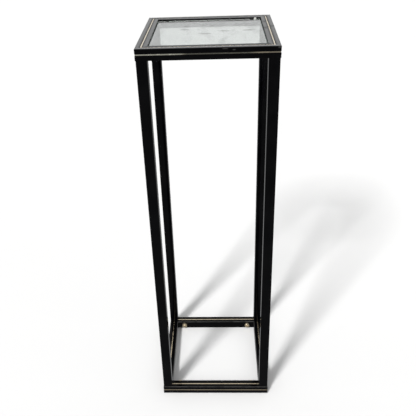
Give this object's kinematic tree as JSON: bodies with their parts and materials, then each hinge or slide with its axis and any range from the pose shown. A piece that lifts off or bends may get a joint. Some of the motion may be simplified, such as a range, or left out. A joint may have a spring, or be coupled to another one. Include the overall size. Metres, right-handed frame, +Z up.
{
  "type": "square glass-topped pedestal table",
  "caption": "Tall square open-frame pedestal table of black square tube with brass inlay lines and an inset clear glass top.",
  "frame": {"origin": "on the floor, under the middle of the base ring", "axes": "+Z up along the legs; the front is towards -Y and +X is to the right when facing the front"},
  "size_m": [0.3, 0.3, 1],
  "materials": {
    "black_lacquer": "gloss black lacquer",
    "brass_strip": "satin",
    "brass_stud": "turned, slightly dull",
    "clear_glass": "clear, polished, faint green edge",
    "clear_bumper": "translucent silicone",
    "cast_corner": "as cast",
    "screw_steel": "dark zinc"
  },
  "bodies": {
    "root": {"top_rail_front": "black_lacquer", "top_rail_right": "black_lacquer", "top_rail_rear": "black_lacquer", "top_rail_left": "black_lacquer", "base_rail_front": "black_lacquer", "base_rail_right": "black_lacquer", "base_rail_rear": "black_lacquer", "base_rail_left": "black_lacquer", "leg_front_left": "black_lacquer", "leg_front_right": "black_lacquer", "leg_rear_right": "black_lacquer", "leg_rear_left": "black_lacquer", "top_corner_front_left": "cast_corner", "top_corner_front_right": "cast_corner", "top_corner_rear_right": "cast_corner", "top_corner_rear_left": "cast_corner", "base_corner_front_left": "cast_corner", "base_corner_front_right": "cast_corner", "base_corner_rear_right": "cast_corner", "base_corner_rear_left": "cast_corner", "top_face_strip_front": "brass_strip", "top_face_strip_right": "brass_strip", "top_face_strip_rear": "brass_strip", "top_face_strip_left": "brass_strip", "top_side_strip_front": "brass_strip", "top_side_strip_right": "brass_strip", "top_side_strip_rear": "brass_strip", "top_side_strip_left": "brass_strip", "base_face_strip_front": "brass_strip", "base_face_strip_right": "brass_strip", "base_face_strip_rear": "brass_strip", "base_face_strip_left": "brass_strip", "base_side_strip_front": "brass_strip", "base_side_strip_right": "brass_strip", "base_side_strip_rear": "brass_strip", "base_side_strip_left": "brass_strip", "glass_plate": "clear_glass", "glass_bumper": "clear_bumper", "glass_stud_front_left": "black_lacquer", "glass_stud_front_right": "black_lacquer", "glass_stud_rear_right": "black_lacquer", "glass_stud_rear_left": "black_lacquer", "shelf_stud_front_left": "brass_stud", "shelf_stud_front_right": "brass_stud", "shelf_stud_rear_right": "brass_stud", "shelf_stud_rear_left": "brass_stud", "top_grub_screws": "screw_steel", "base_grub_screws": "screw_steel"}
  },
  "joints": []
}
